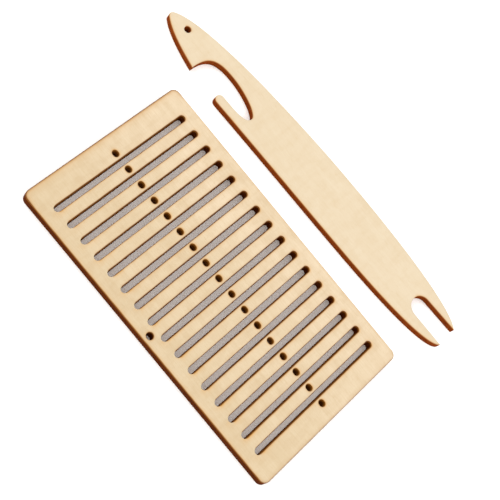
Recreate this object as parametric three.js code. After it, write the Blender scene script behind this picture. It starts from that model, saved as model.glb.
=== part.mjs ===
// Band-weaving set: a rigid heddle and a stick shuttle, each cut from thin three-ply board.
// Millimetres, +Z up. The set lies on the plane z = 0, with the origin under the middle of its box.
import * as THREE from 'three';

// Rigid heddle: its long side runs along Y, and its slots run along X.
const HEDDLE_LENGTH = 100;
const HEDDLE_WIDTH = 58;
const HEDDLE_THICKNESS = 3;
const HEDDLE_CORNER_RADIUS = 2;
const SLOT_COUNT = 16;
const SLOT_PITCH = 5.575;
const SLOT_ROW_Y = -0.33; // the slots and eyes sit a hair off the board's middle
const EYE_ROW_X = 0.2;
const EYE_ROW_Y = -0.22;
const SLOT_LENGTH = 50;
const SLOT_WIDTH = 2;
const EYE_WIDTH = 1.85;
const EYE_LENGTH = 2.15;
const TIE_HOLE_DIAMETER = 2.2;
const TIE_HOLE_INSET = 2.1; // from the left edge to the hole's centre
const TIE_HOLE_Y = -0.2;

// Stick shuttle: drawn with its nose towards +X and its belly towards +Y, then turned to point along Y.
const SHUTTLE_THICKNESS = 2.4;
const SHUTTLE_TURN = 91.1; // degrees, from the drawing's +X to where the nose points
const SHUTTLE_OFFSET = 46.25; // from the heddle's middle to the drawing's origin
const TAIL_X = -57;
const TAIL_TIP_Y = 3.6; // each tail tip's distance from the centre line
const BACK_Y = -9.85; // the bowed edge, at its widest
const BELLY_Y = 8.55; // the edge that ends in the prong, at its widest
const NOSE_RADIUS = 1.4;
const NOSE_CENTRE_X = 67.5;
const NOSE_ARC = 50; // degrees that the nose's radius reaches on each side of the centre line
const NOSE_EYE_DIAMETER = 2.2;
const NOSE_EYE_X = 61.9;
const NOSE_EYE_Y = -0.7;
const BEAK_X = 52.1;
const BEAK_Y = 6.75;
const HOOK_TOP_X = 43;
const HOOK_TOP_Y = -1.95;
const HOOK_BACK_X = 29.5;
const HOOK_BACK_Y = 2.7;
const PRONG_INNER_Y = 5.15;
const PRONG_OUTER_Y = 8.2;
const PRONG_CENTRE_X = 39.7;
const FORK_RADIUS = 3.45;
const FORK_CENTRE_X = -45.2;

const PLY_NAMES = ['back', 'core', 'face']; // from the table up
const HOLE_SEGMENTS = 12; // a multiple of 4, so that no corner falls on a hole's middle line
const OUTLINE_SEGMENTS = 10; // on each curve of the outlines

const materials = {
  heddle_face: new THREE.MeshStandardMaterial({ color: 0xe8d3a6, roughness: 0.7, metalness: 0 }),
  heddle_core: new THREE.MeshStandardMaterial({ color: 0x8a5a34, roughness: 0.8, metalness: 0 }),
  shuttle_face: new THREE.MeshStandardMaterial({ color: 0xf4e1c1, roughness: 0.7, metalness: 0 }),
  shuttle_core: new THREE.MeshStandardMaterial({ color: 0x95633c, roughness: 0.8, metalness: 0 }),
};

// A hole with half-round ends, centred on (x, y): round where its width along X and its length along
// Y are the same.
function roundEndedHole(x, y, width, length) {
  const radius = Math.min(width, length) / 2;
  const flatsRadius = radius / Math.cos(Math.PI / HOLE_SEGMENTS);
  const points = [];
  for (let i = 0; i < HOLE_SEGMENTS; i += 1) {
    const angle = (2 * Math.PI * (i + 0.5)) / HOLE_SEGMENTS;
    const across = Math.cos(angle);
    const along = Math.sin(angle);
    points.push(new THREE.Vector2(
      x + flatsRadius * across + Math.sign(across) * (width / 2 - radius),
      y + flatsRadius * along + Math.sign(along) * (length / 2 - radius),
    ));
  }
  const hole = new THREE.Path();
  hole.setFromPoints(points);
  return hole;
}

// The heddle's outline: a rounded rectangle with slots, an eye in every bar between and beside
// them, and the tie hole by the left edge.
function heddleShape() {
  const x = HEDDLE_WIDTH / 2 - HEDDLE_CORNER_RADIUS;
  const y = HEDDLE_LENGTH / 2 - HEDDLE_CORNER_RADIUS;
  const shape = new THREE.Shape();
  shape.absarc(x, y, HEDDLE_CORNER_RADIUS, 0, Math.PI / 2);
  shape.absarc(-x, y, HEDDLE_CORNER_RADIUS, Math.PI / 2, Math.PI);
  shape.absarc(-x, -y, HEDDLE_CORNER_RADIUS, Math.PI, 1.5 * Math.PI);
  shape.absarc(x, -y, HEDDLE_CORNER_RADIUS, 1.5 * Math.PI, 2 * Math.PI);
  shape.closePath();
  for (let i = 0; i < SLOT_COUNT; i += 1) {
    const slotY = SLOT_ROW_Y + (i - (SLOT_COUNT - 1) / 2) * SLOT_PITCH;
    shape.holes.push(roundEndedHole(0, slotY, SLOT_LENGTH, SLOT_WIDTH));
  }
  for (let i = 0; i <= SLOT_COUNT; i += 1) {
    const eyeY = EYE_ROW_Y + (i - SLOT_COUNT / 2) * SLOT_PITCH;
    shape.holes.push(roundEndedHole(EYE_ROW_X, eyeY, EYE_WIDTH, EYE_LENGTH));
  }
  const tieX = TIE_HOLE_INSET - HEDDLE_WIDTH / 2;
  shape.holes.push(roundEndedHole(tieX, TIE_HOLE_Y, TIE_HOLE_DIAMETER, TIE_HOLE_DIAMETER));
  return shape;
}

// The shuttle's outline, clockwise from the belly's tail tip: belly, prong, hook, beak, nose, bowed
// back, the other tail tip and the fork.
function shuttleShape() {
  const shape = new THREE.Shape();
  const quarter = Math.PI / 2;
  const prongRadius = (PRONG_OUTER_Y - PRONG_INNER_Y) / 2;
  const noseArc = THREE.MathUtils.degToRad(NOSE_ARC);
  const noseX = NOSE_CENTRE_X + NOSE_RADIUS * Math.cos(noseArc);
  const noseY = NOSE_RADIUS * Math.sin(noseArc);
  shape.moveTo(TAIL_X, TAIL_TIP_Y);
  shape.bezierCurveTo(-54.4, 8.4, -28, BELLY_Y, -18, BELLY_Y);
  shape.bezierCurveTo(0, BELLY_Y, 14, PRONG_OUTER_Y, PRONG_CENTRE_X, PRONG_OUTER_Y);
  shape.absarc(PRONG_CENTRE_X, PRONG_INNER_Y + prongRadius, prongRadius, quarter, -quarter, true);
  shape.lineTo(35, PRONG_INNER_Y);
  shape.bezierCurveTo(29.7, PRONG_INNER_Y, HOOK_BACK_X, 3.2, HOOK_BACK_X, HOOK_BACK_Y);
  shape.bezierCurveTo(HOOK_BACK_X, 0.4, 37.2, HOOK_TOP_Y, HOOK_TOP_X, HOOK_TOP_Y);
  shape.bezierCurveTo(48.5, HOOK_TOP_Y, 52.1, -1, BEAK_X, BEAK_Y);
  shape.bezierCurveTo(57.3, 5.7, 64.6, 4, noseX, noseY);
  shape.absarc(NOSE_CENTRE_X, 0, NOSE_RADIUS, noseArc, -noseArc, true);
  shape.bezierCurveTo(64.6, -4.3, 54.9, -6.1, 45, -7.4);
  shape.bezierCurveTo(35.1, -8.7, 15, BACK_Y, 0, BACK_Y);
  shape.bezierCurveTo(-20.1, BACK_Y, -51.3, -8.8, TAIL_X, -TAIL_TIP_Y);
  shape.lineTo(FORK_CENTRE_X, -FORK_RADIUS);
  shape.absarc(FORK_CENTRE_X, 0, FORK_RADIUS, -quarter, quarter);
  shape.closePath();
  shape.holes.push(roundEndedHole(NOSE_EYE_X, NOSE_EYE_Y, NOSE_EYE_DIAMETER, NOSE_EYE_DIAMETER));
  return shape;
}

// One board of equal plies, glued face to face, with the same outline cut through all of them.
function plywoodBoard(name, shape, thickness) {
  const board = new THREE.Group();
  const ply = thickness / PLY_NAMES.length;
  PLY_NAMES.forEach((layer, index) => {
    const geometry = new THREE.ExtrudeGeometry(shape, {
      depth: ply,
      bevelEnabled: false,
      curveSegments: OUTLINE_SEGMENTS,
    });
    const finish = layer === 'core' ? 'core' : 'face';
    const mesh = new THREE.Mesh(geometry, materials[`${name}_${finish}`]);
    mesh.name = `${name}_${layer}_ply`;
    mesh.position.z = index * ply;
    board.add(mesh);
  });
  return board;
}

const heddle = plywoodBoard('heddle', heddleShape(), HEDDLE_THICKNESS);

const shuttle = plywoodBoard('shuttle', shuttleShape(), SHUTTLE_THICKNESS);
shuttle.position.x = SHUTTLE_OFFSET;
shuttle.rotation.z = THREE.MathUtils.degToRad(SHUTTLE_TURN);

const set = new THREE.Group();
set.add(heddle, shuttle);
set.updateMatrixWorld(true);
const middle = new THREE.Box3().setFromObject(set, true).getCenter(new THREE.Vector3());
set.position.set(-middle.x, -middle.y, 0);
set.updateMatrixWorld(true);

export default set;
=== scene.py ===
import math

import bmesh
import bpy
import numpy as np
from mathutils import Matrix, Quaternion, Vector
from mathutils.geometry import delaunay_2d_cdt


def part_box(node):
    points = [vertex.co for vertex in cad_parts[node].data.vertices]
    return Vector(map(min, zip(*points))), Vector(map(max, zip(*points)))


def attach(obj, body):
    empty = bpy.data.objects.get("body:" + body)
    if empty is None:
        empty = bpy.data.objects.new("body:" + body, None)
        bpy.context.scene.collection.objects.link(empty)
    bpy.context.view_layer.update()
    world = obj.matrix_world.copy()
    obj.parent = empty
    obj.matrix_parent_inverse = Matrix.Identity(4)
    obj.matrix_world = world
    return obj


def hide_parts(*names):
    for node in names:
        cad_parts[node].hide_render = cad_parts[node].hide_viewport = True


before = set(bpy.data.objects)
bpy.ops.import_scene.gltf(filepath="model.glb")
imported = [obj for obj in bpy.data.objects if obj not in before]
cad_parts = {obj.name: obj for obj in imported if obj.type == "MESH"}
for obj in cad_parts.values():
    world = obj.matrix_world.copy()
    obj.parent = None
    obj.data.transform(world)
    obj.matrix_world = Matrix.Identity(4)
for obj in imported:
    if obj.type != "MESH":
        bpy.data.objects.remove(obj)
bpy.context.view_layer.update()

MM = 0.001

# ---------------------------------------------------------------------------
# Rigid heddle: a flat board of three-ply birch, laser cut. Its long slots and the
# small eyes between them carry the warp, and a hole by the left edge takes a tie.
# The two veneers and the core between them are glued face to face.
# ---------------------------------------------------------------------------
HEDDLE_CORNER_RADIUS = 2.0 * MM
SLOT_COUNT = 16
SLOT_PITCH = 5.575 * MM
SLOT_LENGTH = 50.0 * MM
SLOT_WIDTH = 2.0 * MM
SLOT_ROW_SHIFT = -0.33 * MM     # the slots and eyes sit a hair off the board's middle
EYE_COUNT = SLOT_COUNT + 1
EYE_ROW_SHIFT = (0.2 * MM, -0.22 * MM)
EYE_WIDTH = 1.85 * MM
EYE_LENGTH = 2.15 * MM
TIE_HOLE_DIAMETER = 2.2 * MM
TIE_HOLE_INSET = 2.1 * MM
TIE_HOLE_SHIFT = -0.2 * MM
CORNER_POINTS = 48              # round a whole turn
RIM_RADIUS = 0.07 * MM          # the beam leaves each outer rim a little soft
RIM_STEPS = 3
KERF_LEAN = 0.18 * MM           # a hole is this much tighter at the table, all round
SEAM_REACH = 0.002 * MM         # points this close are sewn together
SMOOTH_BELOW = math.radians(40)     # a sharper corner between two faces stays sharp

heddle_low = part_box("heddle_back_ply")[0]
heddle_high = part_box("heddle_face_ply")[1]
heddle_middle = (heddle_low + heddle_high) / 2
heddle_width, heddle_length, heddle_thickness = heddle_high - heddle_low
tie_hole_x = TIE_HOLE_INSET - heddle_width / 2


class Wire:
    """A node's output that adds up like a number, with a Math node for each sum."""

    def __init__(self, tree, socket):
        self.tree = tree
        self.socket = socket

    def other(self, name):
        return Wire(self.tree, self.socket.node.outputs[name])

    def maths(self, operation, *values):
        return add(self.tree, "ShaderNodeMath", {"operation": operation}, dict(enumerate(values)))

    def __add__(self, value):
        return self.maths("ADD", self, value)

    def __sub__(self, value):
        return self.maths("SUBTRACT", self, value)

    def __rsub__(self, value):
        return self.maths("SUBTRACT", value, self)

    def __mul__(self, value):
        return self.maths("MULTIPLY", self, value)

    def __truediv__(self, value):
        return self.maths("DIVIDE", self, value)

    def __rtruediv__(self, value):
        return self.maths("DIVIDE", value, self)

    def __neg__(self):
        return self.maths("MULTIPLY", self, -1.0)

    __radd__ = __add__
    __rmul__ = __mul__

    def above(self, floor):
        return self.maths("MAXIMUM", self, floor)

    def below(self, ceiling):
        return self.maths("MINIMUM", self, ceiling)

    def size(self):
        return self.maths("ABSOLUTE", self)

    def sign(self):
        return self.maths("SIGN", self)

    def nearest(self):
        return self.maths("ROUND", self)

    def root(self):
        return self.maths("SQRT", self)

    def cosine(self):
        return self.maths("COSINE", self)

    def sine(self):
        return self.maths("SINE", self)

    def fade(self, reach):
        """1 where the value is 0, falling away over the reach."""
        return self.maths("EXPONENT", self * (-1.0 / reach))

    def rise(self, start, end):
        """0 up to the start, 1 from the end on, and smooth between them."""
        settings = {"interpolation_type": "SMOOTHSTEP"}
        return add(self.tree, "ShaderNodeMapRange", settings, {0: self, 1: start, 2: end})


def add(tree, kind, settings=(), inputs=(), output=0):
    """Add a node: first its settings, then its sockets' values or wires."""
    node = tree.nodes.new(kind)
    for name, value in dict(settings).items():
        setattr(node, name, value)
    for name, value in dict(inputs).items():
        if isinstance(value, Wire):
            tree.links.new(value.socket, node.inputs[name])
        else:
            node.inputs[name].default_value = value
    return Wire(tree, node.outputs[output])


def start_shape_tree(name, sizes):
    """A Geometry Nodes tree with one mesh coming out and a named input for each size."""
    tree = bpy.data.node_groups.new(name, "GeometryNodeTree")
    for size, kind in sizes.items():
        tree.interface.new_socket(size, in_out="INPUT", socket_type="NodeSocket" + kind)
    tree.interface.new_socket("Mesh", in_out="OUTPUT", socket_type="NodeSocketGeometry")
    given = tree.nodes.new("NodeGroupInput")
    return tree, {size: Wire(tree, given.outputs[size]) for size in sizes}


def end_shape_tree(tree, mesh):
    way_out = tree.nodes.new("NodeGroupOutput")
    tree.links.new(mesh.socket, way_out.inputs[0])


def rounded_loop_tree():
    """One closed cut line round the origin, straight sided with round corners.

    Each point keeps the way into the wood, and whether its wall leans, for the steps that move it.
    """
    sizes = {
        "Points": "Int", "Width": "Float", "Length": "Float", "Corner Radius": "Float",
        "Inwards": "Float", "Lean": "Float",
    }
    tree, given = start_shape_tree("rounded cut line", sizes)
    circle = add(tree, "GeometryNodeMeshCircle", {"fill_type": "NONE"}, {"Vertices": given["Points"]})
    turn = (add(tree, "GeometryNodeInputIndex") + 0.5) * (2 * math.pi) / given["Points"]
    spread = 1.0 / (math.pi / given["Points"]).cosine()
    across, along = turn.cosine(), turn.sine()
    radius = given["Corner Radius"]
    x = across * spread * radius + across.sign() * (given["Width"] * 0.5 - radius)
    y = along * spread * radius + along.sign() * (given["Length"] * 0.5 - radius)
    place = add(tree, "ShaderNodeCombineXYZ", {}, {0: x, 1: y})
    way_in = add(tree, "ShaderNodeCombineXYZ", {}, {
        0: across * spread * given["Inwards"],
        1: along * spread * given["Inwards"],
    })
    line = add(tree, "GeometryNodeSetPosition", {}, {"Geometry": circle, "Position": place})
    kept = add(tree, "GeometryNodeStoreNamedAttribute", {"data_type": "FLOAT_VECTOR"}, {
        "Geometry": line, "Name": "way_in", "Value": way_in,
    })
    leaning = add(tree, "GeometryNodeStoreNamedAttribute", {"data_type": "FLOAT"}, {
        "Geometry": kept, "Name": "lean", "Value": given["Lean"],
    })
    end_shape_tree(tree, leaning)
    return tree


def joined(tree, meshes):
    """Join several meshes into one."""
    node = tree.nodes.new("GeometryNodeJoinGeometry")
    for mesh in meshes:
        tree.links.new(mesh.socket, node.inputs[0])
    return Wire(tree, node.outputs[0])


def perforated_ply_tree():
    """One ply of the heddle: outline, slots, eyes and tie hole, filled, walled and softly rimmed."""
    sizes = {
        "Width": "Float", "Length": "Float", "Corner Radius": "Float", "Corner Points": "Int",
        "Slot Count": "Int", "Slot Pitch": "Float", "Slot Length": "Float", "Slot Width": "Float",
        "Slot Row Shift": "Float", "Eye Row Shift": "Vector", "Eye Width": "Float", "Eye Length": "Float",
        "Tie Hole Diameter": "Float", "Tie Hole Place": "Vector", "Middle": "Vector",
        "Bottom": "Float", "Top": "Float", "Lower Rim": "Float", "Upper Rim": "Float",
        "Lower Lean": "Float", "Upper Lean": "Float",
        "Face": "Material", "Cut Edge": "Material",
    }
    tree, given = start_shape_tree("perforated ply", sizes)
    loop_tree = rounded_loop_tree()

    def cut_line(width, length, radius, is_hole=True):
        return add(tree, "GeometryNodeGroup", {"node_tree": loop_tree}, {
            "Points": given["Corner Points"], "Width": width, "Length": length, "Corner Radius": radius,
            "Inwards": 1.0 if is_hole else -1.0, "Lean": 1.0 if is_hole else 0.0,
        })

    def row_of(line, count, x, y):
        """Copies of a cut line, a pitch apart up the board, centred on (x, y)."""
        first = given["Slot Pitch"] * (count - 1) * -0.5 + y
        points = add(tree, "GeometryNodeMeshLine", {}, {
            "Count": count,
            "Start Location": add(tree, "ShaderNodeCombineXYZ", {}, {0: x, 1: first}),
            "Offset": add(tree, "ShaderNodeCombineXYZ", {}, {1: given["Slot Pitch"]}),
        })
        copies = add(tree, "GeometryNodeInstanceOnPoints", {}, {"Points": points, "Instance": line})
        return add(tree, "GeometryNodeRealizeInstances", {}, {0: copies})

    outline = cut_line(given["Width"], given["Length"], given["Corner Radius"], is_hole=False)
    slot = cut_line(given["Slot Length"], given["Slot Width"], given["Slot Width"] * 0.5)
    eye = cut_line(given["Eye Width"], given["Eye Length"], given["Eye Width"] * 0.5)
    eye_row = add(tree, "ShaderNodeSeparateXYZ", {}, {0: given["Eye Row Shift"]})
    tie_size = given["Tie Hole Diameter"]
    tie_hole = add(tree, "GeometryNodeTransform", {}, {
        "Geometry": cut_line(tie_size, tie_size, tie_size * 0.5),
        "Translation": given["Tie Hole Place"],
    })
    lines = joined(tree, [
        outline,
        row_of(slot, given["Slot Count"], 0.0, given["Slot Row Shift"]),
        row_of(eye, given["Slot Count"] + 1, eye_row, eye_row.other("Y")),
        tie_hole,
    ])
    way_in = add(tree, "GeometryNodeInputNamedAttribute", {"data_type": "FLOAT_VECTOR"}, {"Name": "way_in"})
    leans = add(tree, "GeometryNodeInputNamedAttribute", {"data_type": "FLOAT"}, {"Name": "lean"})

    def moved(mesh, inset, lean, rise, chosen=None):
        """Move a mesh's points into the wood by the inset, holes back out by the lean, and up by the rise."""
        inwards = inset - leans * lean
        step = add(tree, "ShaderNodeVectorMath", {"operation": "SCALE"}, {0: way_in, "Scale": inwards})
        lift = add(tree, "ShaderNodeCombineXYZ", {}, {2: rise})
        shift = add(tree, "ShaderNodeVectorMath", {"operation": "ADD"}, {0: step, 1: lift})
        ports = {"Geometry": mesh, "Offset": shift}
        if chosen:
            ports["Selection"] = chosen
        return add(tree, "GeometryNodeSetPosition", {}, ports)

    def filled(inset, lean, height):
        """The flat face between the cut lines, at one height."""
        flat = moved(lines, inset, lean, 0.0)
        curves = add(tree, "GeometryNodeMeshToCurve", {}, {0: flat})
        face = add(tree, "GeometryNodeFillCurve", {"mode": "TRIANGLES"}, {0: curves})
        lift = add(tree, "ShaderNodeCombineXYZ", {}, {2: height})
        lifted = add(tree, "GeometryNodeSetPosition", {}, {"Geometry": face, "Offset": lift})
        return add(tree, "GeometryNodeSetMaterial", {}, {"Geometry": lifted, "Material": given["Face"]})

    # The wall starts at the lower face's edge and climbs round the lower rim, up the cut
    # and round the upper rim. A rim is still part of its face, so it has the face's finish.
    bottom, top = given["Bottom"], given["Top"]
    lower, upper = given["Lower Rim"], given["Upper Rim"]
    lower_lean, upper_lean = given["Lower Lean"], given["Upper Lean"]
    angles = [math.radians(90 * step / RIM_STEPS) for step in range(RIM_STEPS + 1)]
    steps = []
    for near, far in zip(angles, angles[1:]):
        inset, rise = math.sin(near) - math.sin(far), math.cos(near) - math.cos(far)
        steps.append((lower * inset, 0.0, lower * rise, "Face"))
    steps.append((0.0, upper_lean - lower_lean, top - bottom - lower - upper, "Cut Edge"))
    for near, far in zip(angles, angles[1:]):
        inset, rise = math.cos(near) - math.cos(far), math.sin(far) - math.sin(near)
        steps.append((upper * inset, 0.0, upper * rise, "Face"))
    wall = moved(lines, lower, lower_lean, bottom)
    chosen = None
    for inset, lean, rise, finish in steps:
        ports = {"Mesh": wall, "Offset Scale": 0.0}
        if chosen:
            ports["Selection"] = chosen
        grown = add(tree, "GeometryNodeExtrudeMesh", {"mode": "EDGES"}, ports)
        chosen = grown.other("Top")
        wall = add(tree, "GeometryNodeSetMaterial", {}, {
            "Geometry": moved(grown, inset, lean, rise, chosen),
            "Selection": grown.other("Side"), "Material": given[finish],
        })

    whole = joined(tree, [wall, filled(lower, lower_lean, bottom), filled(upper, upper_lean, top)])
    sewn = add(tree, "GeometryNodeMergeByDistance", {}, {"Geometry": whole, "Distance": SEAM_REACH})
    placed = add(tree, "GeometryNodeSetPosition", {}, {"Geometry": sewn, "Offset": given["Middle"]})
    for helper in ("way_in", "lean"):
        placed = add(tree, "GeometryNodeRemoveAttribute", {}, {"Geometry": placed, "Name": helper})
    end_shape_tree(tree, add(tree, "GeometryNodeRealizeInstances", {}, {0: placed}))
    return tree


def finish_board(name, mesh):
    """Turn a closed board's faces outwards, and shade its round cuts smooth between sharp corners."""
    shell = bmesh.new()
    shell.from_mesh(mesh)
    bmesh.ops.recalc_face_normals(shell, faces=shell.faces)
    shell.to_mesh(mesh)
    shell.free()
    mesh.shade_smooth()
    mesh.set_sharp_from_angle(angle=SMOOTH_BELOW)
    mesh.name = name


def grow(name, tree, sizes):
    """A plain mesh object from a Geometry Nodes tree, with the tree's inputs set by name."""
    board = bpy.data.objects.new(name, bpy.data.meshes.new(name))
    bpy.context.scene.collection.objects.link(board)
    maker = board.modifiers.new(name, "NODES")
    maker.node_group = tree
    ports = {item.name: item.identifier for item in tree.interface.items_tree if item.in_out == "INPUT"}
    for size, value in sizes.items():
        maker[ports[size]] = value
    made = board.evaluated_get(bpy.context.evaluated_depsgraph_get())
    mesh = bpy.data.meshes.new_from_object(made)
    board.modifiers.clear()
    board.data = mesh
    finish_board(name, mesh)
    return board


def start_finish(name, shine):
    """A wood finish: its tree, its shader node, and where each point is, in millimetres."""
    material = bpy.data.materials.new(name)
    material.use_nodes = True
    tree = material.node_tree
    shader = tree.nodes["Principled BSDF"]
    shader.inputs["Specular IOR Level"].default_value = shine
    place = add(tree, "ShaderNodeTexCoord", output="Object")
    return material, tree, shader, stretched(place, (1 / MM, 1 / MM, 1 / MM))


def stretched(place, factors):
    return add(place.tree, "ShaderNodeVectorMath", {"operation": "MULTIPLY"}, {0: place, 1: factors})


def grain(place, sizes, seed, detail=2.0, roughness=0.5):
    """Noise with features of the given sizes in millimetres, from 0 to 1 about a half."""
    scaled = stretched(place, tuple(1 / size for size in sizes))
    shifted = add(place.tree, "ShaderNodeVectorMath", {"operation": "ADD"}, {
        0: scaled, 1: (seed, seed * 0.7, 0),
    })
    return add(place.tree, "ShaderNodeTexNoise", {}, {
        "Vector": shifted, "Scale": 1.0, "Detail": detail, "Roughness": roughness,
    })


def tint(amount, under, over):
    """One colour over another, by the amount."""
    settings = {"data_type": "RGBA", "clamp_factor": True}
    ports = {0: amount, 6: colour(under), 7: colour(over)}
    return add(amount.tree, "ShaderNodeMix", settings, ports, output=2)


def colour(value):
    return value if isinstance(value, Wire) else (*value, 1.0)


def raised(shader, height, depth, strength):
    """Let a height, from 0 to 1, lift the surface by the depth."""
    bump = add(height.tree, "ShaderNodeBump", {}, {"Strength": strength, "Distance": depth, "Height": height})
    height.tree.links.new(bump.socket, shader.inputs["Normal"])


BIRCH_PALE = (0.613, 0.494, 0.343)
BIRCH_MID = (0.531, 0.419, 0.266)
BIRCH_DEEP = (0.412, 0.282, 0.143)
SCORCH = (0.525, 0.243, 0.0260)
SOOT = (0.0995, 0.0253, 0.0054)
FACE_SHINE = 0.25
CHAR_SHINE = 0.02
GRAIN_DEPTH = 0.02 * MM         # of the sanded face
FURROW_DEPTH = 0.04 * MM        # of the burnt walls
SLOT_END = SLOT_LENGTH / 2 / MM
SLOT_TIP_START = SLOT_END * 0.94        # the round end of a slot, from the slot's middle
SLOT_TIP_END = SLOT_END * 0.98
OUTLINE_SCORCH_FADE = 0.32      # how far each mark fades from its cut, in millimetres
FAR_END_SCORCH_FADE = 0.9
SLOT_SCORCH_FADE = 0.30
SLOT_TIP_SCORCH_FADE = 0.40
SLOT_STAIN_FADE = 0.8
EYE_SCORCH_FADE = 0.28
OUTLINE_SOOT_FADE = 0.10
END_SOOT_FADE = 0.27
SLOT_SOOT_FADE = 0.09
EYE_SOOT_FADE = 0.09


def sanded_birch(place, paleness, pale, mid, deep, seed):
    """Rotary-cut birch, sanded: broad soft bands, fine fibres and short pores along the board.

    Returns the colour and the height of its surface.
    """
    broad = grain(place, (16, 60, 40), seed).rise(0.35, 0.65)
    band = grain(place, (2.0, 24, 30), seed + 3, detail=3.0).rise(0.32, 0.70)
    fibre = grain(place, (0.22, 5.0, 5.0), seed + 7, detail=3.0, roughness=0.6)
    curl = grain(place, (5.5, 1.9, 8.0), seed + 11, detail=2.0).rise(0.42, 0.68)
    cloud = grain(place, (2.6, 7.0, 8.0), seed + 29, detail=3.0).rise(0.40, 0.66)
    speckle = grain(place, (0.45, 0.9, 1.0), seed + 41, detail=1.0).rise(0.45, 0.75)
    pore = grain(place, (0.13, 1.5, 1.5), seed + 17, detail=1.0).rise(0.66, 0.74)
    fleck = grain(place, (0.5, 2.6, 3.0), seed + 23, detail=1.0).rise(0.66, 0.76)
    wood = tint(broad * 0.3 + paleness, mid, pale)
    wood = tint(band * 0.10, wood, deep)
    wood = tint(curl * 0.15 + cloud * 0.14, wood, deep)
    wood = tint(fibre.rise(0.35, 0.75) * 0.20, wood, deep)
    wood = tint(fleck * 0.24, wood, deep)
    wood = tint(speckle * 0.07, wood, deep)
    wood = tint(pore * 0.36, wood, deep)
    return wood, fibre * 0.7 - pore * 0.5


def heddle_cut_distances(place):
    """Where a point of the heddle is, and how far it is from the outline, the slots and the small holes.

    Between the two, it also tells how far up the board the point is from its nearest slot's middle line.
    """
    centred = add(place.tree, "ShaderNodeVectorMath", {"operation": "SUBTRACT"}, {
        0: place, 1: tuple(heddle_middle / MM),
    })
    split = add(place.tree, "ShaderNodeSeparateXYZ", {}, {0: centred})
    x, y = split, split.other("Y")

    def length(a, b):
        return (a * a + b * b).root()

    def from_row(count, shift_x, shift_y, width, tall):
        """Distance to the nearest of a row of slots or eyes, and how far up the board from its middle."""
        radius = min(width, tall) / 2 / MM
        row = (y - shift_y / MM) / (SLOT_PITCH / MM) + (count - 1) / 2
        off_row = (row - row.nearest().above(0).below(count - 1)) * (SLOT_PITCH / MM)
        past_x = ((x - shift_x / MM).size() - (width / 2 / MM - radius)).above(0)
        past_y = (off_row.size() - (tall / 2 / MM - radius)).above(0)
        return length(past_x, past_y) - radius, off_row

    radius = HEDDLE_CORNER_RADIUS / MM
    past_x = x.size() - (heddle_width / 2 / MM - radius)
    past_y = y.size() - (heddle_length / 2 / MM - radius)
    past_both = past_x.above(past_y).below(0)
    outline = radius - length(past_x.above(0), past_y.above(0)) - past_both
    slots, off_slot = from_row(SLOT_COUNT, 0.0, SLOT_ROW_SHIFT, SLOT_LENGTH, SLOT_WIDTH)
    eyes, _ = from_row(EYE_COUNT, *EYE_ROW_SHIFT, EYE_WIDTH, EYE_LENGTH)
    tie = length(x - tie_hole_x / MM, y - TIE_HOLE_SHIFT / MM) - TIE_HOLE_DIAMETER / 2 / MM
    return x, y, outline, slots, off_slot, eyes.below(tie)


def heddle_face_finish(name, seed):
    """Sanded birch, paler to the right, that the beam has smoked beside the cuts.

    The smoke has drifted down the board, so it browns the far end and the near side of each slot most.
    The far side of each slot keeps a thin dark line of soot.
    """
    material, tree, shader, place = start_finish(name, FACE_SHINE)
    x, y, outline, slots, off_slot, eyes = heddle_cut_distances(place)
    half_width, half_length = heddle_width / 2 / MM, heddle_length / 2 / MM
    paleness = x.rise(-half_width, half_width) * 0.75
    wood, height = sanded_birch(place, paleness, BIRCH_PALE, BIRCH_MID, BIRCH_DEEP, seed)
    patchy = grain(place, (3.5, 3.5, 3.5), seed + 31, detail=2.0).rise(0.3, 0.7)
    far_end = y.rise(half_length - 6, half_length)
    near_end = (-y).rise(half_length - 3, half_length)
    right_side = x.rise(half_width - 3, half_width - 1)
    left_end = (-x).rise(SLOT_END * 0.64, SLOT_END)
    left_tip = (-x).rise(SLOT_TIP_START, SLOT_TIP_END)
    right_tip = x.rise(SLOT_END * 0.95, SLOT_END)
    upper_side = off_slot.rise(-0.5, 0.5)
    rough = 0.72 + patchy * 0.40
    outline_burn = (1 - right_side * 0.5) * rough
    slot_burn = (1 - upper_side * 0.6) * (1 - left_tip) * rough
    outline_scorch = outline.fade(OUTLINE_SCORCH_FADE) * outline_burn * (0.68 - near_end * 0.3)
    far_end_scorch = outline.fade(FAR_END_SCORCH_FADE) * far_end * 0.45
    slot_scorch = slots.fade(SLOT_SCORCH_FADE) * slot_burn * 0.85
    tip_scorch = slots.fade(SLOT_TIP_SCORCH_FADE) * right_tip * 0.3
    stain = slots.fade(SLOT_STAIN_FADE) * left_end * (1 - upper_side) * patchy * 0.45
    eye_scorch = eyes.fade(EYE_SCORCH_FADE) * rough * (0.65 + x.rise(-0.8, 1.0) * 0.45)
    scorch = (outline_scorch + far_end_scorch).above(slot_scorch + tip_scorch + stain).above(eye_scorch)
    up_board = y.rise(-half_length, half_length)
    slot_side = (1.3 + up_board * 1.1) * (1 - upper_side) + (3.8 - up_board * 1.8) * upper_side
    slot_soot = slots.fade(SLOT_SOOT_FADE) * slot_side * (1 - left_tip)
    eye_soot = eyes.fade(EYE_SOOT_FADE) * 1.2
    outline_soot = outline.fade(OUTLINE_SOOT_FADE) * outline_burn
    end_soot = outline.fade(END_SOOT_FADE) * (far_end * 0.95 + near_end * 0.40)
    soot = (slot_soot.above(eye_soot) * rough).above(outline_soot + end_soot)
    wood = tint(scorch, wood, SCORCH)
    wood = tint(soot, wood, SOOT)
    tree.links.new(wood.socket, shader.inputs["Base Color"])
    tree.links.new((0.56 + height * 0.10 + soot * 0.2).socket, shader.inputs["Roughness"])
    raised(shader, height, GRAIN_DEPTH, 0.5)
    return material


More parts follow.
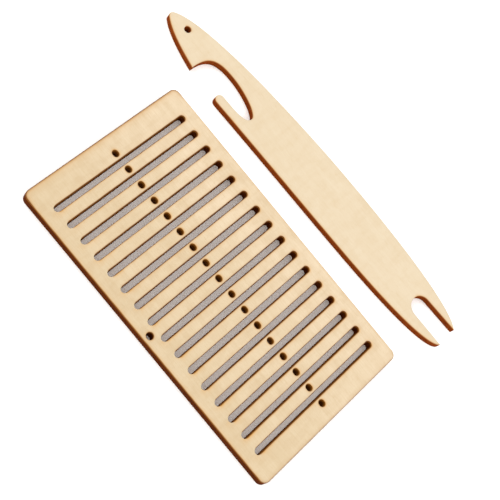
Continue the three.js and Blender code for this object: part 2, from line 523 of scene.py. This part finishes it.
HEDDLE_CHAR = {
    "dark": (0.0500, 0.0072, 0.0004),
    "mid": (0.112, 0.0210, 0.0018),
    "warm": (0.310, 0.122, 0.0130),
}
VENEER_FLECKS = 0.22            # how strongly the char is flecked, on a veneer and on the core's end grain
CORE_FLECKS = 0.36
HOLE_PALENESS = 0.35            # how much paler the char is in the holes than round the outline


def burnt_cut_finish(name, low, high, tones, flecks, seed, hole_paleness=0.0):
    """A laser-cut wall: brown char with fine upright furrows, warmer at its top, darker at each glue line."""
    dark, mid, warm = tones["dark"], tones["mid"], tones["warm"]
    material, tree, shader, place = start_finish(name, CHAR_SHINE)
    height = add(tree, "ShaderNodeSeparateXYZ", {}, {0: place}).other("Z")
    furrow = grain(place, (0.24, 0.24, 3.0), seed, detail=2.0, roughness=0.6)
    ripple = grain(place, (2.4, 2.4, 6.0), seed + 5, detail=2.0)
    fleck = grain(place, (0.30, 0.30, 0.22), seed + 9, detail=2.0)
    char = tint(furrow.rise(0.3, 0.7) * 0.6 + ripple.rise(0.3, 0.7) * 0.4, dark, mid)
    char = tint(fleck.rise(0.5, 0.8) * flecks, char, warm)
    thickness = (high - low) / MM
    from_top = (high / MM - height) + (furrow - 0.5) * 0.25
    fringe = 1.0 - from_top.rise(0.0, thickness * 0.27)
    char = tint(fringe * 0.85, char, warm)
    ply = thickness / 3
    from_bottom = height - low / MM
    plies_up = from_bottom / ply
    from_glue = (plies_up - plies_up.nearest()).size() * ply
    inner = (from_bottom - thickness / 2).size().rise(thickness * 0.35, thickness * 0.30)
    char = tint(from_glue.fade(0.08) * inner * 0.7, char, dark)
    if hole_paleness:
        x, _, outline, *_ = heddle_cut_distances(place)
        slot_tips = x.size().rise(SLOT_TIP_START, SLOT_TIP_END)
        char = tint(outline.rise(0.2, 0.6) * (1 - slot_tips) * hole_paleness, char, warm)
    tree.links.new(char.socket, shader.inputs["Base Color"])
    tree.links.new((0.62 + furrow * 0.3).socket, shader.inputs["Roughness"])
    raised(shader, furrow + fleck * 0.3, FURROW_DEPTH, 0.45)
    return material


ply_tree = perforated_ply_tree()
heddle_face = heddle_face_finish("heddle sanded birch", 2.0)
heddle_cut = burnt_cut_finish(
    "heddle burnt cut", heddle_low.z, heddle_high.z, HEDDLE_CHAR, VENEER_FLECKS, 4.0, HOLE_PALENESS)
heddle_core_cut = burnt_cut_finish(
    "heddle burnt core", heddle_low.z, heddle_high.z, HEDDLE_CHAR, CORE_FLECKS, 6.0, HOLE_PALENESS)
# For each ply, its soft rims, its wall's finish and its material slot.
HEDDLE_PLIES = {
    "back": (RIM_RADIUS, 0.0, heddle_cut, "heddle_veneer"),
    "core": (0.0, 0.0, heddle_core_cut, "heddle_core"),
    "face": (0.0, RIM_RADIUS, heddle_cut, "heddle_veneer"),
}
for ply, (lower_rim, upper_rim, cut, finish_slot) in HEDDLE_PLIES.items():
    node = f"heddle_{ply}_ply"
    low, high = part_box(node)
    board = grow(f"heddle_{ply}_sheet", ply_tree, {
        "Width": heddle_width, "Length": heddle_length,
        "Corner Radius": HEDDLE_CORNER_RADIUS, "Corner Points": CORNER_POINTS,
        "Slot Count": SLOT_COUNT, "Slot Pitch": SLOT_PITCH, "Slot Length": SLOT_LENGTH,
        "Slot Width": SLOT_WIDTH, "Slot Row Shift": SLOT_ROW_SHIFT,
        "Eye Row Shift": (*EYE_ROW_SHIFT, 0.0), "Eye Width": EYE_WIDTH, "Eye Length": EYE_LENGTH,
        "Tie Hole Diameter": TIE_HOLE_DIAMETER,
        "Tie Hole Place": (tie_hole_x, TIE_HOLE_SHIFT, 0.0),
        "Middle": (heddle_middle.x, heddle_middle.y, 0.0),
        "Bottom": low.z, "Top": high.z, "Lower Rim": lower_rim, "Upper Rim": upper_rim,
        "Lower Lean": KERF_LEAN * (heddle_high.z - low.z) / heddle_thickness,
        "Upper Lean": KERF_LEAN * (heddle_high.z - high.z) / heddle_thickness,
        "Face": heddle_face, "Cut Edge": cut,
    })
    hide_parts(node)
    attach(board, "heddle")

# ---------------------------------------------------------------------------
# Stick shuttle: a long blade of thinner three-ply birch, laser cut in one outline.
# Its nose has an eye and a hook to catch the weft, and its tail is a fork to wind it on.
# ---------------------------------------------------------------------------
SHUTTLE_TURN = math.radians(91.1)       # from the drawing's +X to where the nose points
SHUTTLE_OFFSET = 46.25                  # from the heddle's middle to the drawing's origin
TAIL_X = -57.0
TAIL_TIP_Y = 3.6
BACK_Y = -9.85                          # the bowed edge, at its widest
BELLY_Y = 8.55                          # the edge that ends in the prong, at its widest
NOSE_RADIUS = 1.4
NOSE_CENTRE_X = 67.5
NOSE_ARC = math.radians(50)
NOSE_EYE_DIAMETER = 2.2
NOSE_EYE = (61.9, -0.7)
NOSE_EYE_LEAN = 0.36                    # how much tighter the eye is at the table, all round
BEAK = (52.1, 6.75)
HOOK_TOP = (43.0, -1.95)
HOOK_BACK = (29.5, 2.7)
PRONG_INNER_Y = 5.15
PRONG_OUTER_Y = 8.2
PRONG_CENTRE_X = 39.7
FORK_RADIUS = 3.45
FORK_CENTRE_X = -45.2
POINT_SPACING = 0.45                    # between points along a cut
BAND_INSETS = (0.02, 0.07, 0.16, 0.30, 0.50, 0.80, 1.20)
CLOSE_BANDS = 4                         # the bands nearest the cut have all its points, the rest every other
BAND_ROOM = 0.97                        # a point stays if no cut is nearer than this share of its inset
TRIANGLES_INSIDE = 2                    # the triangulation's code for keeping to the inside of the outline
SAME_POINT = 1e-7


class CutLine:
    """A line drawn in millimetres with straights, curves and arcs, kept as closely spaced points."""

    def __init__(self, *start):
        self.points = [Vector(start)]

    def line(self, *end):
        start, end = self.points[-1], Vector(end)
        count = math.ceil((end - start).length / POINT_SPACING)
        self.points += [start.lerp(end, step / count) for step in range(1, count + 1)]

    def curve(self, *handles):
        a = self.points[-1]
        b, c, d = (Vector(handles[n:n + 2]) for n in (0, 2, 4))
        count = math.ceil(((b - a).length + (c - b).length + (d - c).length) / POINT_SPACING)
        for step in range(1, count + 1):
            t = step / count
            s = 1 - t
            self.points.append(a * s**3 + b * (3 * s * s * t) + c * (3 * s * t * t) + d * t**3)

    def arc(self, x, y, radius, start, end):
        count = math.ceil(abs(end - start) * radius / POINT_SPACING * 2)
        for step in range(1, count + 1):
            angle = start + (end - start) * step / count
            self.points.append(Vector((x + radius * math.cos(angle), y + radius * math.sin(angle))))


def shuttle_outline():
    """Belly, prong, hook, beak and nose, then the bowed back and the tail's fork."""
    quarter = math.pi / 2
    prong_radius = (PRONG_OUTER_Y - PRONG_INNER_Y) / 2
    nose_x = NOSE_CENTRE_X + NOSE_RADIUS * math.cos(NOSE_ARC)
    nose_y = NOSE_RADIUS * math.sin(NOSE_ARC)
    cut = CutLine(TAIL_X, TAIL_TIP_Y)
    cut.curve(-54.4, 8.4, -28, BELLY_Y, -18, BELLY_Y)
    cut.curve(0, BELLY_Y, 14, PRONG_OUTER_Y, PRONG_CENTRE_X, PRONG_OUTER_Y)
    cut.arc(PRONG_CENTRE_X, PRONG_INNER_Y + prong_radius, prong_radius, quarter, -quarter)
    cut.line(35, PRONG_INNER_Y)
    cut.curve(29.7, PRONG_INNER_Y, HOOK_BACK[0], 3.2, *HOOK_BACK)
    cut.curve(HOOK_BACK[0], 0.4, 37.2, HOOK_TOP[1], *HOOK_TOP)
    cut.curve(48.5, HOOK_TOP[1], BEAK[0], -1, *BEAK)
    cut.curve(57.3, 5.7, 64.6, 4, nose_x, nose_y)
    cut.arc(NOSE_CENTRE_X, 0, NOSE_RADIUS, NOSE_ARC, -NOSE_ARC)
    cut.curve(64.6, -4.3, 54.9, -6.1, 45, -7.4)
    cut.curve(35.1, -8.7, 15, BACK_Y, 0, BACK_Y)
    cut.curve(-20.1, BACK_Y, -51.3, -8.8, TAIL_X, -TAIL_TIP_Y)
    cut.line(FORK_CENTRE_X, -FORK_RADIUS)
    cut.arc(FORK_CENTRE_X, 0, FORK_RADIUS, -quarter, quarter)
    cut.line(TAIL_X, TAIL_TIP_Y)
    return cut.points[:-1]


def nose_eye():
    radius = NOSE_EYE_DIAMETER / 2
    cut = CutLine(NOSE_EYE[0] + radius, NOSE_EYE[1])
    cut.arc(*NOSE_EYE, radius, 0, 2 * math.pi)
    return cut.points[:-1]


def nearest_cut(loops, points):
    """How far each point is from the cut, and how far the cut there faces the belly's way, from -1 to 1."""
    starts = np.concatenate([np.array(loop) for loop in loops])
    ends = np.concatenate([np.roll(np.array(loop), -1, axis=0) for loop in loops])
    runs = ends - starts
    away = points[:, None] - starts[None]
    share = np.clip((away * runs).sum(2) / (runs * runs).sum(1), 0, 1)
    distances = np.linalg.norm(away - share[:, :, None] * runs, axis=2)
    facing = runs[:, 0] / np.linalg.norm(runs, axis=1)
    return distances.min(1), facing[distances.argmin(1)]


def bands_inside(loops):
    """Points in bands inside the cut lines, left out where a narrow place has no room for a band."""
    kept = []
    for loop in loops:
        line = np.array(loop)
        along = np.roll(line, -1, axis=0) - np.roll(line, 1, axis=0)
        into = np.stack([along[:, 1], -along[:, 0]], axis=1)
        into /= np.linalg.norm(into, axis=1)[:, None]
        for number, inset in enumerate(BAND_INSETS):
            band = (line + into * inset)[:: 1 if number < CLOSE_BANDS else 2]
            kept.append(band[nearest_cut(loops, band)[0] > inset * BAND_ROOM])
    return np.concatenate(kept)


def smoke_beside(facing):
    """How much smoke lies beside a cut: all of it where the cut faces the belly's way, little elsewhere."""
    return min(max(facing / 0.6 + 0.2, 0.0), 1.0)


def blade_ply(name, loops, low, high, lower_rim, upper_rim, face, cut, placed):
    """One ply of the shuttle: two flat faces that roll softly into the wall between them.

    Each corner keeps its distance from the cut, and how smoked the cut beside it is, for the face's finish.
    """
    cut_points = [point for loop in loops for point in loop]
    points = cut_points + [Vector(point) for point in bands_inside(loops)]
    edges = []
    for loop in loops:
        first = len(edges)
        edges += [(first + n, first + (n + 1) % len(loop)) for n in range(len(loop))]
    flat, _, faces, came_from, _, _ = delaunay_2d_cdt(points, edges, [], TRIANGLES_INSIDE, SAME_POINT)
    distance, facing = nearest_cut(loops, np.array(flat))
    source = np.array([sources[0] if sources else len(points) for sources in came_from])
    on_cut = source < len(cut_points)
    distance[on_cut] = 0.0
    on_eye = on_cut & (source >= len(loops[0]))

    shell = bmesh.new()
    cut_distance = shell.verts.layers.float.new("cut_distance")
    smoked = shell.verts.layers.float.new("smoked")

    def sheet(height, rim, upwards):
        """One face, dropping to the wall by the rim's quarter circle, with the eye left open."""
        corners = []
        depth = (shuttle_high.z - height) / (shuttle_high.z - shuttle_low.z)
        tighter = NOSE_EYE_LEAN * depth / (NOSE_EYE_DIAMETER / 2)
        for point, away, faced, in_eye in zip(flat, distance, facing, on_eye):
            short = max(rim - away, 0.0)
            drop = rim - math.sqrt(rim * rim - short * short)
            x, y = placed(point.lerp(Vector(NOSE_EYE), tighter) if in_eye else point)
            corner = shell.verts.new((x, y, height - drop * MM * upwards))
            corner[cut_distance] = away * MM
            corner[smoked] = smoke_beside(faced)
            corners.append(corner)
        for face_points in faces:
            if not on_eye[face_points].all():
                shell.faces.new([corners[number] for number in face_points])
        return corners

    lower = sheet(low, lower_rim, -1)
    upper = sheet(high, upper_rim, 1)
    shell.verts.index_update()
    border = [edge for edge in shell.edges if edge.is_boundary]
    partner = dict(zip(lower, upper))
    for edge in border:
        a, b = edge.verts
        if a in partner:
            wall = shell.faces.new([a, b, partner[b], partner[a]])
            wall.material_index = 1
    mesh = bpy.data.meshes.new(name)
    shell.to_mesh(mesh)
    shell.free()
    mesh.materials.append(face)
    mesh.materials.append(cut)
    blade = bpy.data.objects.new(name, mesh)
    bpy.context.scene.collection.objects.link(blade)
    finish_board(name, mesh)
    return blade


SHUTTLE_PALE = (0.597, 0.500, 0.362)
SHUTTLE_MID = (0.572, 0.471, 0.329)
SHUTTLE_DEEP = (0.497, 0.372, 0.218)
SHUTTLE_DUST = (0.272, 0.240, 0.213)
SHUTTLE_CHAR = {
    "dark": (0.116, 0.0165, 0.0006),
    "mid": (0.232, 0.0425, 0.0030),
    "warm": (0.317, 0.0950, 0.0199),
}
SHUTTLE_DUST_FADE = 0.22        # how far each mark fades from its cut, in millimetres
SHUTTLE_SCORCH_FADE = 0.24
SHUTTLE_SOOT_FADE = 0.09


def shuttle_face_finish(name, seed):
    """Paler sanded birch, cut cleanly: a brown line beside the belly's cuts, a faint grey one elsewhere."""
    material, tree, shader, place = start_finish(name, FACE_SHINE)
    paleness = grain(place, (30, 30, 30), seed + 37) * 0.4
    wood, height = sanded_birch(place, paleness, SHUTTLE_PALE, SHUTTLE_MID, SHUTTLE_DEEP, seed)
    away = add(tree, "ShaderNodeAttribute", {"attribute_name": "cut_distance"}, output="Fac") * (1 / MM)
    patchy = grain(place, (4.0, 4.0, 4.0), seed + 31, detail=2.0).rise(0.3, 0.7)
    smoked_side = add(tree, "ShaderNodeAttribute", {"attribute_name": "smoked"}, output="Fac")
    wood = tint(away.fade(SHUTTLE_DUST_FADE) * (1 - smoked_side) * 0.22, wood, SHUTTLE_DUST)
    wood = tint(away.fade(SHUTTLE_SCORCH_FADE) * smoked_side * (0.72 + patchy * 0.28), wood, SCORCH)
    wood = tint(away.fade(SHUTTLE_SOOT_FADE) * smoked_side * 0.75, wood, SOOT)
    tree.links.new(wood.socket, shader.inputs["Base Color"])
    tree.links.new((0.55 + height * 0.10).socket, shader.inputs["Roughness"])
    raised(shader, height, GRAIN_DEPTH, 0.5)
    return material


def on_shuttle(point):
    """A point of the drawing, turned and placed beside the heddle, in metres."""
    x, y = point
    cos, sin = math.cos(SHUTTLE_TURN), math.sin(SHUTTLE_TURN)
    return (
        heddle_middle.x + (SHUTTLE_OFFSET + x * cos - y * sin) * MM,
        heddle_middle.y + (x * sin + y * cos) * MM,
    )


shuttle_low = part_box("shuttle_back_ply")[0]
shuttle_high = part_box("shuttle_face_ply")[1]
shuttle_face = shuttle_face_finish("shuttle sanded birch", 40.0)
shuttle_cut = burnt_cut_finish(
    "shuttle burnt cut", shuttle_low.z, shuttle_high.z, SHUTTLE_CHAR, VENEER_FLECKS, 44.0)
shuttle_core_cut = burnt_cut_finish(
    "shuttle burnt core", shuttle_low.z, shuttle_high.z, SHUTTLE_CHAR, CORE_FLECKS, 46.0)
# For each ply, its soft rims in the drawing's millimetres, its wall's finish and its material slot.
SHUTTLE_PLIES = {
    "back": (RIM_RADIUS / MM, 0.0, shuttle_cut, "shuttle_veneer"),
    "core": (0.0, 0.0, shuttle_core_cut, "shuttle_core"),
    "face": (0.0, RIM_RADIUS / MM, shuttle_cut, "shuttle_veneer"),
}
shuttle_loops = [shuttle_outline(), nose_eye()]
for ply, (lower_rim, upper_rim, cut, finish_slot) in SHUTTLE_PLIES.items():
    node = f"shuttle_{ply}_ply"
    low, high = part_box(node)
    blade = blade_ply(f"shuttle_{ply}_sheet", shuttle_loops, low.z, high.z,
                      lower_rim, upper_rim, shuttle_face, cut, on_shuttle)
    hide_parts(node)
    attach(blade, "shuttle")

# ---------------------------------------------------------------------------
# The set lies on a white table under an even, soft light from all round,
# and is seen from above its left side.
# ---------------------------------------------------------------------------
TABLE_SIZE = 3.0
TABLE_DROP = 0.05 * MM          # the boards only touch the table here and there
TABLE_WHITE = (0.95, 0.95, 0.945)
TABLE_GLOW = (0.090, 0.070, 0.053)      # a thin white table, with some light coming up through it
ROOM_LIGHT = 1.04
SIDE_LIGHT_POWER = 7.0
SIDE_LIGHT_SIZE = (1.2, 0.5)
SIDE_LIGHT_DISTANCE = 0.9
SIDE_LIGHT_HEIGHT = 0.7
LOOK_AT = Vector((1.91 * MM, -5.64 * MM, 0.0))
CAMERA_DISTANCE = 348.4 * MM
CAMERA_ELEVATION = math.radians(59.13)
CAMERA_SIDE = math.radians(179.0)
CAMERA_ROLL = math.radians(51.32)
LENS = 88.34
SENSOR = 36.0

table = bpy.data.objects.new("table", bpy.data.meshes.new("table"))
reach = TABLE_SIZE / 2
table_corners = [(-reach, -reach), (reach, -reach), (reach, reach), (-reach, reach)]
table.data.from_pydata([(x, y, -TABLE_DROP) for x, y in table_corners], [], [(0, 1, 2, 3)])
white = bpy.data.materials.new("white table")
white.use_nodes = True
table_shader = white.node_tree.nodes["Principled BSDF"].inputs
table_shader["Roughness"].default_value = 0.9
table_shader["Specular IOR Level"].default_value = 0.1
table_shader["Base Color"].default_value = (*TABLE_WHITE, 1.0)
table_shader["Emission Color"].default_value = (*TABLE_GLOW, 1.0)
table_shader["Emission Strength"].default_value = 1.0
table.data.materials.append(white)
bpy.context.scene.collection.objects.link(table)

room = bpy.data.worlds.new("even white room")
room.use_nodes = True
room.node_tree.nodes["Background"].inputs["Color"].default_value = (1.0, 1.0, 1.0, 1.0)
room.node_tree.nodes["Background"].inputs["Strength"].default_value = ROOM_LIGHT
bpy.context.scene.world = room

for side in (-1, 1):
    lamp = bpy.data.lights.new(f"side light {side}", "AREA")
    lamp.shape = "RECTANGLE"
    lamp.size, lamp.size_y = SIDE_LIGHT_SIZE
    lamp.energy = SIDE_LIGHT_POWER
    light = bpy.data.objects.new(lamp.name, lamp)
    light.location = (0.0, side * SIDE_LIGHT_DISTANCE, SIDE_LIGHT_HEIGHT)
    light.rotation_mode = "QUATERNION"
    light.rotation_quaternion = Vector(light.location).to_track_quat("Z", "Y")
    bpy.context.scene.collection.objects.link(light)

camera = bpy.data.objects.new("camera", bpy.data.cameras.new("camera"))
camera.data.lens = LENS
camera.data.sensor_width = SENSOR
camera.data.clip_start = 0.01
level = math.cos(CAMERA_ELEVATION)
back = Vector((level * math.cos(CAMERA_SIDE), level * math.sin(CAMERA_SIDE), math.sin(CAMERA_ELEVATION)))
camera.location = LOOK_AT + back * CAMERA_DISTANCE
camera.rotation_mode = "QUATERNION"
camera.rotation_quaternion = back.to_track_quat("Z", "Y") @ Quaternion((0, 0, 1), CAMERA_ROLL)
bpy.context.scene.collection.objects.link(camera)
bpy.context.scene.camera = camera
bpy.context.scene.view_settings.view_transform = "Standard"
